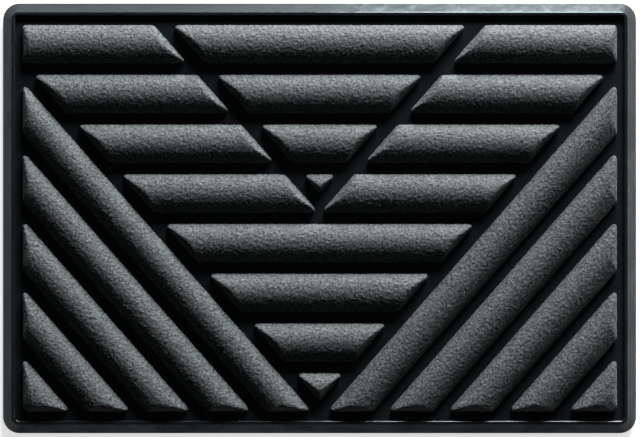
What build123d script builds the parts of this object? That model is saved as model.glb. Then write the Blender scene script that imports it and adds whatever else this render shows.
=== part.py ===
"""Snowboard stomp pad: a gloss tray with a bevelled rim, crowned grip bars set in its floor, an adhesive
sheet under it and a release liner under that. Millimetres, +Z up, X along the long side. The origin is the
centre of the liner's underside, the face that the pad lies on before it is stuck to a board."""

import math
import os

from build123d import *

# Outline
PAD_LENGTH = 153.2
PAD_WIDTH = 104.0
CORNER_RADIUS = 4.0

# Stack, from the bottom up
LINER_THICKNESS = 0.12
ADHESIVE_THICKNESS = 0.6
FLOOR_THICKNESS = 1.6
POCKET_DEPTH = 0.5
SHEET_INSET = 0.8  # adhesive and liner stop short of the tray's edge
SHEET_CORNER_RADIUS = CORNER_RADIUS - SHEET_INSET

# Rim of the tray
EDGE_LAND = 0.3  # upright part of the outer edge
RIM_HEIGHT = 0.9  # above the floor
RIM_WIDTH = 3.2
BEVEL_WIDTH = 2.35
RIM_EDGE_RADIUS = 0.26
INNER_WALL_TAPER = 8.0  # degrees

# Grip field: eight rows of level bars, cut by two V grooves and flanked by slanting bars
ROW_COUNT = 8
ROW_WIDTH = 9.5
ROW_GAP = 2.5
ROW_PITCH = ROW_WIDTH + ROW_GAP
FIELD_LENGTH = 143.6
FIELD_WIDTH = ROW_COUNT * ROW_WIDTH + (ROW_COUNT - 1) * ROW_GAP
SLANT = 48.7  # degrees between the V grooves and the level bars
SLANT_COUNT = 5
SLANT_WIDTH = 8.5
SLANT_PITCH = 10.92
OUTER_V_DROP = 1.8  # the slanting bars' upper edges meet this far below the field
OUTER_V_GROOVE = 2.8
INNER_V_ROWS = 4  # the inner V ends at the foot of this row
INNER_V_GROOVE = 3.0

# Grip bars
BAR_WALL = 0.75  # upright height at a bar's edges, above the floor
BAR_CROWN = 1.95  # rise of the crown above that
END_RUN = 3.0  # at each end the crown falls away to the wall along an arc of this length
END_RISE = BAR_CROWN + 0.25  # and this height, so that it meets the ridge at a slight angle
TIP_RADIUS = 0.8  # the corners of a bar, seen from above
ROOT_INSET = 0.6  # a bar overhangs its root, and so hides its pocket, by this much all round
ROOT_TIP_RADIUS = 0.3
CUT_MARGIN = 0.4  # the solids that shape a bar reach this far past it

# Levels
ADHESIVE_BOTTOM = LINER_THICKNESS
TRAY_BOTTOM = ADHESIVE_BOTTOM + ADHESIVE_THICKNESS
FLOOR_LEVEL = TRAY_BOTTOM + FLOOR_THICKNESS
POCKET_LEVEL = FLOOR_LEVEL - POCKET_DEPTH
RIM_TOP = FLOOR_LEVEL + RIM_HEIGHT
BAR_TOP = BAR_WALL + BAR_CROWN  # above the floor

FIELD_TOP = FIELD_WIDTH / 2
FIELD_BOTTOM = -FIELD_WIDTH / 2
SLANT_RISE = math.tan(math.radians(SLANT))
GROOVE_TO_APEX = 1 / math.cos(math.radians(SLANT))  # apex shift per unit of groove width


def wedge(apex_y):
    """The area above a V whose point is on the centre line at apex_y."""
    half = FIELD_LENGTH
    top = apex_y + half * SLANT_RISE
    return make_face(Polyline((0, apex_y), (half, top), (-half, top), close=True))


def row_bottom(row):
    """Lower edge of level row 1 to ROW_COUNT, counted from the top."""
    return FIELD_TOP - (row - 1) * ROW_PITCH - ROW_WIDTH


def row_strip(row):
    centre = row_bottom(row) + ROW_WIDTH / 2
    return Pos(0, centre) * Rectangle(FIELD_LENGTH, ROW_WIDTH)


def slant_offset(number):
    """Distance, square to the V, from the V's upper edge to the middle of slanting bar 1 to SLANT_COUNT."""
    return SLANT_WIDTH / 2 + (number - 1) * SLANT_PITCH


def slant_frame(number):
    """A plane whose X runs down a left slanting bar's middle, at floor level."""
    along = Vector(math.cos(math.radians(SLANT)), -math.sin(math.radians(SLANT)))
    outward = Vector(-math.sin(math.radians(SLANT)), -math.cos(math.radians(SLANT)))
    apex = Vector(0, FIELD_BOTTOM - OUTER_V_DROP)
    middle = apex - along * FIELD_LENGTH / 2 + outward * slant_offset(number)
    return Plane(origin=(middle.X, middle.Y, FLOOR_LEVEL), x_dir=along, z_dir=(0, 0, 1))


def slant_strip(number):
    frame = slant_frame(number)
    strip = Rot(0, 0, -SLANT) * Rectangle(2 * FIELD_LENGTH, SLANT_WIDTH)
    strip = Pos(frame.origin.X, frame.origin.Y) * strip
    return strip & Rectangle(FIELD_LENGTH, FIELD_WIDTH)


def root_outline(footprint):
    """The outline of a bar's root and of the pocket it sits in."""
    inset = offset(footprint, amount=-ROOT_INSET)
    return fillet(inset.vertices(), ROOT_TIP_RADIUS)


def crown(frame, width):
    """A long solid with the bars' crowned section, along the frame's X, a little wider than a bar."""
    radius = ((width / 2) ** 2 + BAR_CROWN**2) / (2 * BAR_CROWN)
    half = width / 2 + CUT_MARGIN
    side = BAR_TOP - radius + math.sqrt(radius**2 - half**2)
    section = Plane(origin=frame.origin, x_dir=frame.y_dir, z_dir=frame.x_dir)
    outline = [
        ThreePointArc((half, side), (0, BAR_TOP), (-half, side)),
        Polyline((-half, side), (-half, -BAR_TOP), (half, -BAR_TOP), (half, side)),
    ]
    return extrude(section * make_face(Curve() + outline), amount=FIELD_LENGTH, both=True)


def rounded_end(edge, middle):
    """A long solid whose top falls away to an end edge of a footprint, which holds the point middle."""
    inward = Vector(0, 0, 1).cross(edge.tangent_at(0.5))
    foot = edge.center()
    if inward.dot(middle - foot) < 0:
        inward = -inward
    along = inward.cross(Vector(0, 0, 1))
    section = Plane(origin=(foot.X, foot.Y, FLOOR_LEVEL), x_dir=inward, z_dir=along)
    radius = (END_RUN**2 + END_RISE**2) / (2 * END_RISE)
    outer = END_RUN - radius
    top = BAR_WALL + END_RISE
    start = (outer, top - radius)
    end = (END_RUN, top)
    rest = Polyline(end, (FIELD_LENGTH, top), (FIELD_LENGTH, -BAR_TOP), (outer, -BAR_TOP), start)
    outline = [RadiusArc(start, end, radius), rest]
    return extrude(section * make_face(Curve() + outline), amount=FIELD_LENGTH, both=True)


def grip_bar(footprint, frame, width):
    """A bar on its footprint: a straight root, and a head with a crown and rounded ends."""
    root = extrude(Pos(0, 0, POCKET_LEVEL) * root_outline(footprint), amount=POCKET_DEPTH)
    outline = fillet(footprint.vertices(), TIP_RADIUS)
    top = extrude(Pos(0, 0, FLOOR_LEVEL) * outline, amount=2 * BAR_TOP) & crown(frame, width)
    for edge in footprint.edges():
        if abs(edge.tangent_at(0.5).dot(frame.x_dir)) < 0.999:
            top = top & rounded_end(edge, footprint.center())
    return root + top


def row_frame(row):
    return Plane(origin=(0, row_bottom(row) + ROW_WIDTH / 2, FLOOR_LEVEL))


def row_footprints():
    """Name, footprint and frame of each level bar, apart from the right ones, which mirror the left."""
    heart = wedge(FIELD_BOTTOM - OUTER_V_DROP + OUTER_V_GROOVE * GROOVE_TO_APEX)
    inner_apex = row_bottom(INNER_V_ROWS)
    inner_cut = wedge(inner_apex)
    inner_core = wedge(inner_apex + INNER_V_GROOVE * GROOVE_TO_APEX)
    left_half = Pos(-FIELD_LENGTH / 2, 0) * Rectangle(FIELD_LENGTH, 2 * FIELD_WIDTH)
    found = []
    for row in range(1, ROW_COUNT + 1):
        area = row_strip(row)
        if row > 1:  # the outer V starts at the foot of row 1
            area = area & heart
        if row > INNER_V_ROWS:
            found.append((f"bar_row{row}", area, row_frame(row)))
            continue
        left = (area - inner_cut) & left_half
        found.append((f"bar_row{row}_left", left, row_frame(row)))
        found.append((f"bar_row{row}_centre", area & inner_core, row_frame(row)))
    return found


def rounded_slab(length, width, radius, bottom, thickness, taper=0.0):
    outline = Pos(0, 0, bottom) * RectangleRounded(length, width, radius)
    return extrude(outline, amount=thickness, taper=taper)


def tray(pockets):
    """The moulded tray: a floor, a bevelled rim and a shallow pocket for each grip bar's root."""
    bevel_height = RIM_TOP - TRAY_BOTTOM - EDGE_LAND
    bevel_taper = math.degrees(math.atan(BEVEL_WIDTH / bevel_height))
    land = rounded_slab(PAD_LENGTH, PAD_WIDTH, CORNER_RADIUS, TRAY_BOTTOM, EDGE_LAND)
    bevel = rounded_slab(
        PAD_LENGTH, PAD_WIDTH, CORNER_RADIUS, TRAY_BOTTOM + EDGE_LAND, bevel_height, taper=bevel_taper
    )
    well = rounded_slab(
        PAD_LENGTH - 2 * RIM_WIDTH,
        PAD_WIDTH - 2 * RIM_WIDTH,
        CORNER_RADIUS - RIM_WIDTH,
        FLOOR_LEVEL,
        RIM_HEIGHT,
        taper=-INNER_WALL_TAPER,
    )
    body = (land + bevel) - well
    crest = body.edges().filter_by_position(Axis.Z, RIM_TOP - 0.01, RIM_TOP + 0.01)
    body = fillet(crest, RIM_EDGE_RADIUS)
    for pocket in pockets:
        body -= extrude(Pos(0, 0, POCKET_LEVEL) * pocket, amount=2 * POCKET_DEPTH)
    return body


def under_sheet(bottom, thickness):
    """A sheet as wide as the adhesive, which stops just inside the tray's edge."""
    return rounded_slab(
        PAD_LENGTH - 2 * SHEET_INSET, PAD_WIDTH - 2 * SHEET_INSET, SHEET_CORNER_RADIUS, bottom, thickness
    )


def build():
    parts = {}
    pockets = {}
    for name, footprint, frame in row_footprints():
        parts[name] = grip_bar(footprint, frame, ROW_WIDTH)
        pockets[name] = root_outline(footprint)
    for number in range(1, SLANT_COUNT + 1):
        footprint = slant_strip(number)
        name = f"bar_slant{number}_left"
        parts[name] = grip_bar(footprint, slant_frame(number), SLANT_WIDTH)
        pockets[name] = root_outline(footprint)
    for name in [name for name in parts if name.endswith("_left")]:
        opposite = name.replace("_left", "_right")
        parts[opposite] = mirror(parts[name], about=Plane.YZ)
        pockets[opposite] = mirror(pockets[name], about=Plane.YZ)
    parts["base_tray"] = tray(pockets.values())
    parts["adhesive_sheet"] = under_sheet(ADHESIVE_BOTTOM, ADHESIVE_THICKNESS)
    parts["release_liner"] = under_sheet(0, LINER_THICKNESS)
    return parts


os.makedirs("parts", exist_ok=True)
for name, shape in build().items():
    export_step(shape, f"parts/{name}.step")
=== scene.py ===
"""Looks of a snowboard stomp pad: grained rubber bars in place of the smooth CAD ones, a gloss moulded
tray, a foam adhesive sheet and a film liner, on a white floor under a low softbox. Metres, in the CAD
part's frame."""

import math

import bpy
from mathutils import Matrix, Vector, noise

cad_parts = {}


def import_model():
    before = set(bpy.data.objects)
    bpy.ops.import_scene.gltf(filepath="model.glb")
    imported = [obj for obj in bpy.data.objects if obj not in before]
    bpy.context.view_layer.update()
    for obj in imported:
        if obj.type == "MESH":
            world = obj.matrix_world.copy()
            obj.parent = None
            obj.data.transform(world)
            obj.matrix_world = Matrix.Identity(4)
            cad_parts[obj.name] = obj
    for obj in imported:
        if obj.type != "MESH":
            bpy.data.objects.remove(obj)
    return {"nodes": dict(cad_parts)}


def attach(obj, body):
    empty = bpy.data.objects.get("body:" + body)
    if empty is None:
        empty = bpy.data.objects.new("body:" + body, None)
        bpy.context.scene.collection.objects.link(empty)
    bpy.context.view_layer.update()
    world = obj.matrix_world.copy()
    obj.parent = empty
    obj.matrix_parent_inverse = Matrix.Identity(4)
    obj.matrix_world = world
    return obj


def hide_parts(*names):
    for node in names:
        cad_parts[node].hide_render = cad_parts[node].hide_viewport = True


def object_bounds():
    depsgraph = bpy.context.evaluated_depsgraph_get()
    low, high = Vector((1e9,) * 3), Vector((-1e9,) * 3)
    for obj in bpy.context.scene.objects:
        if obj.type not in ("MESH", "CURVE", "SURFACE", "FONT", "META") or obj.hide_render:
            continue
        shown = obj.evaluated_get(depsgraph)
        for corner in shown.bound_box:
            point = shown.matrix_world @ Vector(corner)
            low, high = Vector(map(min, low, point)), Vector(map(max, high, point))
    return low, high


MM = 0.001

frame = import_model()
cad_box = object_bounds()

# Bars
BAR_PREFIX = "bar_"
VOXEL = 0.24 * MM  # spacing of a grained bar's vertices
SMOOTHING = 20  # passes, which soften the moulded edges before the grain is pressed in
SMOOTHING_FACTOR = 0.5  # how far each pass moves a vertex towards its neighbours
GRAIN_SIZE = 0.6 * MM  # from one grain to the next
GRAIN_DEPTH = 0.15 * MM
FINE_GRAIN_SIZE = 0.3 * MM
FINE_GRAIN_SHARE = 0.4
GRAIN_CONTRAST = 1.6  # above 1, so that the highest peaks and the deepest pits are cut off

# Camera
LENS = 150.0
SENSOR = 36.0
IMAGE_WIDTH = 153.9 * MM  # what the picture spans at the height of the grip bars
CAMERA_OFFSET = (0.1 * MM, -0.05 * MM)

# Lights, as seen from the pad; azimuths are degrees from +Y towards +X
KEY_AZIMUTH = 15.0
KEY_ELEVATION = 14.0
KEY_DISTANCE = 0.75
KEY_SIZE = (0.36, 0.29)
KEY_POWER = 23.5
GLOW_AZIMUTH = 62.0  # the studio is palest here along the horizon
GLOW_RADIANCE = 8.0
GLOW_FALLOFF = 5.0  # how quickly the glow fades to either side
GLOW_HEIGHT = 0.2  # sine of the elevation at which the glow has faded
ZENITH_RADIANCE = 0.015
BACKDROP = 0.9  # radiance that the camera sees beyond the floor
FLOOR_SIZE = 6.0
FLOOR_GLOW = 0.7  # emission that only the camera sees: it whitens the floor and adds no light to the pad


# Materials


class Shader:
    """A material's node tree, with short calls for adding and joining nodes."""

    def __init__(self, name):
        self.material = bpy.data.materials.new(name)
        self.material.use_nodes = True
        self.nodes = self.material.node_tree.nodes
        self.links = self.material.node_tree.links
        self.surface = self.nodes["Principled BSDF"]
        self.place = self.nodes.new("ShaderNodeTexCoord").outputs["Object"]

    def join(self, source, target):
        self.links.new(source, target)

    def noise(self, size, detail=2.0, roughness=0.5):
        """Noise whose features are about size metres across."""
        node = self.nodes.new("ShaderNodeTexNoise")
        node.inputs["Scale"].default_value = 1 / size
        node.inputs["Detail"].default_value = detail
        node.inputs["Roughness"].default_value = roughness
        self.join(self.place, node.inputs["Vector"])
        return node.outputs["Fac"]

    def cells(self, size):
        """Distance to the middle of the nearest of many cells, about size metres across."""
        node = self.nodes.new("ShaderNodeTexVoronoi")
        node.inputs["Scale"].default_value = 1 / size
        self.join(self.place, node.inputs["Vector"])
        return node.outputs["Distance"]

    def ramp(self, source, stops):
        """Maps a 0 to 1 value to grey levels or colours, given as two (position, value) pairs."""
        node = self.nodes.new("ShaderNodeValToRGB")
        for element, (position, value) in zip(node.color_ramp.elements, stops):
            element.position = position
            element.color = (value, value, value, 1) if isinstance(value, float) else (*value, 1)
        self.join(source, node.inputs["Fac"])
        return node.outputs["Color"]

    def bump(self, height, distance, strength, over=None):
        """Surface relief of the given depth in metres, on top of the relief over if there is one."""
        node = self.nodes.new("ShaderNodeBump")
        node.inputs["Distance"].default_value = distance
        node.inputs["Strength"].default_value = strength
        self.join(height, node.inputs["Height"])
        if over is not None:
            self.join(over, node.inputs["Normal"])
        return node.outputs["Normal"]

    def set(self, **sockets):
        for name, value in sockets.items():
            self.surface.inputs[name.replace("_", " ")].default_value = value


def grip_material():
    """Matte rubber with a sandy speckle, from nearly black to grey."""
    shader = Shader("grip_rubber")
    shader.set(Specular_IOR_Level=0.4, Sheen_Weight=0.14, Sheen_Roughness=0.35)
    dark = (0.008, 0.01, 0.011)
    pale = (0.085, 0.104, 0.106)
    speckle = shader.noise(0.55 * MM, detail=3.0, roughness=0.75)
    colour = shader.ramp(speckle, [(0.38, dark), (0.62, pale)])
    shader.join(colour, shader.surface.inputs["Base Color"])
    roughness = shader.ramp(shader.noise(2.5 * MM), [(0.3, 0.56), (0.7, 0.68)])
    shader.join(roughness, shader.surface.inputs["Roughness"])
    sand = shader.noise(0.42 * MM, detail=3.0, roughness=0.65)
    grains = shader.bump(sand, distance=0.13 * MM, strength=1.0)
    shader.join(grains, shader.surface.inputs["Normal"])
    return shader.material


def tray_material():
    """Gloss black moulded plastic with faint sink waves and orange peel."""
    shader = Shader("tray_gloss")
    shader.set(Specular_IOR_Level=0.5, Specular_Tint=(0.8, 0.96, 1, 1))
    dark = (0.008, 0.01, 0.012)
    pale = (0.012, 0.0155, 0.017)
    colour = shader.ramp(shader.noise(9 * MM, detail=3.0), [(0.3, dark), (0.7, pale)])
    shader.join(colour, shader.surface.inputs["Base Color"])
    roughness = shader.ramp(shader.noise(1.1 * MM, detail=4.0, roughness=0.65), [(0.35, 0.1), (0.75, 0.2)])
    shader.join(roughness, shader.surface.inputs["Roughness"])
    waves = shader.bump(shader.noise(6 * MM, detail=1.0), distance=0.12 * MM, strength=0.6)
    peel = shader.bump(shader.noise(0.7 * MM, detail=2.0), distance=0.006 * MM, strength=0.6, over=waves)
    shader.join(peel, shader.surface.inputs["Normal"])
    return shader.material


def adhesive_material():
    """Dark grey foam with small cells."""
    shader = Shader("adhesive_foam")
    shader.set(Specular_IOR_Level=0.35)
    dark = (0.1, 0.1, 0.105)
    pale = (0.15, 0.15, 0.155)
    colour = shader.ramp(shader.noise(1.2 * MM, detail=3.0), [(0.3, dark), (0.7, pale)])
    shader.join(colour, shader.surface.inputs["Base Color"])
    roughness = shader.ramp(shader.cells(0.35 * MM), [(0.1, 0.85), (0.7, 0.6)])
    shader.join(roughness, shader.surface.inputs["Roughness"])
    cells = shader.bump(shader.cells(0.3 * MM), distance=0.04 * MM, strength=0.8)
    shader.join(cells, shader.surface.inputs["Normal"])
    return shader.material


def liner_material():
    """Cream coated film over paper: faint fibres and long, shallow waves."""
    shader = Shader("liner_film")
    shader.set(Specular_IOR_Level=0.5)
    dark = (0.72, 0.69, 0.6)
    pale = (0.8, 0.78, 0.7)
    colour = shader.ramp(shader.noise(3 * MM, detail=5.0, roughness=0.7), [(0.3, dark), (0.7, pale)])
    shader.join(colour, shader.surface.inputs["Base Color"])
    roughness = shader.ramp(shader.noise(0.8 * MM, detail=4.0), [(0.3, 0.32), (0.7, 0.5)])
    shader.join(roughness, shader.surface.inputs["Roughness"])
    waves = shader.bump(shader.noise(14 * MM, detail=2.0), distance=0.15 * MM, strength=0.5)
    fibres = shader.bump(shader.noise(0.3 * MM, detail=3.0), distance=0.01 * MM, strength=0.5, over=waves)
    shader.join(fibres, shader.surface.inputs["Normal"])
    return shader.material


def floor_material():
    """Matte white, with an emission that only the camera sees."""
    shader = Shader("studio_floor")
    shader.set(Base_Color=(0.9, 0.9, 0.9, 1), Roughness=0.9, Specular_IOR_Level=0.2)
    shader.set(Emission_Color=(1, 1, 1, 1))
    seen = shader.nodes.new("ShaderNodeLightPath").outputs["Is Camera Ray"]
    glow = shader.nodes.new("ShaderNodeMath")
    glow.operation = "MULTIPLY"
    glow.inputs[1].default_value = FLOOR_GLOW
    shader.join(seen, glow.inputs[0])
    shader.join(glow.outputs[0], shader.surface.inputs["Emission Strength"])
    return shader.material


# Bars


def grain(point):
    """Height of the grain at a point, from -1 in the pits to 0 on the peaks."""
    coarse = noise.noise(point / GRAIN_SIZE)
    fine = noise.noise(point / FINE_GRAIN_SIZE)
    mixed = (coarse + FINE_GRAIN_SHARE * fine) / (1 + FINE_GRAIN_SHARE)
    return (max(-1.0, min(1.0, GRAIN_CONTRAST * mixed)) - 1) / 2


def remeshed(source, voxel):
    """A new mesh like source's, with even faces of about voxel across and softened edges."""
    copy = bpy.data.objects.new("remesh_source", source.data.copy())
    bpy.context.scene.collection.objects.link(copy)
    remesh = copy.modifiers.new("even", "REMESH")
    remesh.mode = "VOXEL"
    remesh.voxel_size = voxel
    remesh.use_smooth_shade = True
    smooth = copy.modifiers.new("smooth", "SMOOTH")
    smooth.iterations = SMOOTHING
    smooth.factor = SMOOTHING_FACTOR
    evaluated = copy.evaluated_get(bpy.context.evaluated_depsgraph_get())
    mesh = bpy.data.meshes.new_from_object(evaluated)
    bpy.data.objects.remove(copy)
    return mesh


def grained_bar(node, material):
    """A bar with the CAD bar's shape and a grain pressed into its surface."""
    mesh = remeshed(frame["nodes"][node], VOXEL)
    normals = [vertex.normal.copy() for vertex in mesh.vertices]
    for vertex, normal in zip(mesh.vertices, normals):
        vertex.co += normal * GRAIN_DEPTH * grain(vertex.co)
    mesh.materials.clear()
    mesh.materials.append(material)
    bar = bpy.data.objects.new(f"{node}_grained", mesh)
    bpy.context.scene.collection.objects.link(bar)
    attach(bar, "pad")
    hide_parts(node)


def repaint(node, material):
    mesh = frame["nodes"][node].data
    mesh.materials.clear()
    mesh.materials.append(material)


# Stage


def floor():
    half = FLOOR_SIZE / 2
    mesh = bpy.data.meshes.new("studio_floor")
    corners = [(-half, -half, 0), (half, -half, 0), (half, half, 0), (-half, half, 0)]
    mesh.from_pydata(corners, [], [(0, 1, 2, 3)])
    mesh.materials.append(floor_material())
    plane = bpy.data.objects.new("studio_floor", mesh)
    bpy.context.scene.collection.objects.link(plane)


def softbox(name, azimuth, elevation, distance, size, power):
    """A rectangular light that faces the pad."""
    turn = math.radians(azimuth)
    lift = math.radians(elevation)
    away = Vector((math.sin(turn) * math.cos(lift), math.cos(turn) * math.cos(lift), math.sin(lift)))
    light = bpy.data.lights.new(name, "AREA")
    light.shape = "RECTANGLE"
    light.size, light.size_y = size
    light.energy = power
    lamp = bpy.data.objects.new(name, light)
    lamp.location = away * distance
    lamp.rotation_euler = away.to_track_quat("Z", "Y").to_euler()
    lamp.visible_camera = False
    bpy.context.scene.collection.objects.link(lamp)


def world():
    """A dark studio with a pale glow low down on one side, and a pale backdrop behind the floor."""
    surroundings = bpy.data.worlds.new("studio")
    surroundings.use_nodes = True
    nodes = surroundings.node_tree.nodes
    links = surroundings.node_tree.links

    def maths(operation, first, second):
        node = nodes.new("ShaderNodeMath")
        node.operation = operation
        links.new(first, node.inputs[0])
        if isinstance(second, float):
            node.inputs[1].default_value = second
        else:
            links.new(second, node.inputs[1])
        return node.outputs[0]

    def share(value, none, full, curve="LINEAR"):
        """How far value has come from none to full, from 0 to 1."""
        node = nodes.new("ShaderNodeMapRange")
        node.interpolation_type = curve
        node.inputs["From Min"].default_value = none
        node.inputs["From Max"].default_value = full
        links.new(value, node.inputs["Value"])
        return node.outputs["Result"]

    direction = nodes.new("ShaderNodeTexCoord").outputs["Generated"]
    towards = math.radians(GLOW_AZIMUTH)
    facing = nodes.new("ShaderNodeVectorMath")
    facing.operation = "DOT_PRODUCT"
    facing.inputs[1].default_value = (math.sin(towards), math.cos(towards), 0)
    links.new(direction, facing.inputs[0])
    side = maths("POWER", share(facing.outputs["Value"], none=-1.0, full=1.0), GLOW_FALLOFF)
    upward = nodes.new("ShaderNodeSeparateXYZ")
    links.new(direction, upward.inputs[0])
    low = share(upward.outputs["Z"], none=GLOW_HEIGHT, full=0.0, curve="SMOOTHSTEP")
    glow = maths("MULTIPLY", maths("MULTIPLY", side, low), GLOW_RADIANCE)
    strength = nodes.new("ShaderNodeMix")
    links.new(nodes.new("ShaderNodeLightPath").outputs["Is Camera Ray"], strength.inputs["Factor"])
    links.new(maths("ADD", glow, ZENITH_RADIANCE), strength.inputs["A"])
    strength.inputs["B"].default_value = BACKDROP
    links.new(strength.outputs["Result"], nodes["Background"].inputs["Strength"])
    nodes["Background"].inputs["Color"].default_value = (1, 1, 1, 1)
    bpy.context.scene.world = surroundings


def camera():
    data = bpy.data.cameras.new("camera")
    data.lens = LENS
    data.sensor_width = SENSOR
    view = bpy.data.objects.new("camera", data)
    height = cad_box[1].z + IMAGE_WIDTH * LENS / SENSOR
    view.location = (*CAMERA_OFFSET, height)
    bpy.context.scene.collection.objects.link(view)
    bpy.context.scene.camera = view


grip = grip_material()
for node in sorted(frame["nodes"]):
    if node.startswith(BAR_PREFIX):
        grained_bar(node, grip)
repaint("base_tray", tray_material())
repaint("adhesive_sheet", adhesive_material())
repaint("release_liner", liner_material())

floor()
world()
softbox("key_softbox", KEY_AZIMUTH, KEY_ELEVATION, KEY_DISTANCE, KEY_SIZE, KEY_POWER)
camera()
bpy.context.scene.view_settings.view_transform = "Standard"
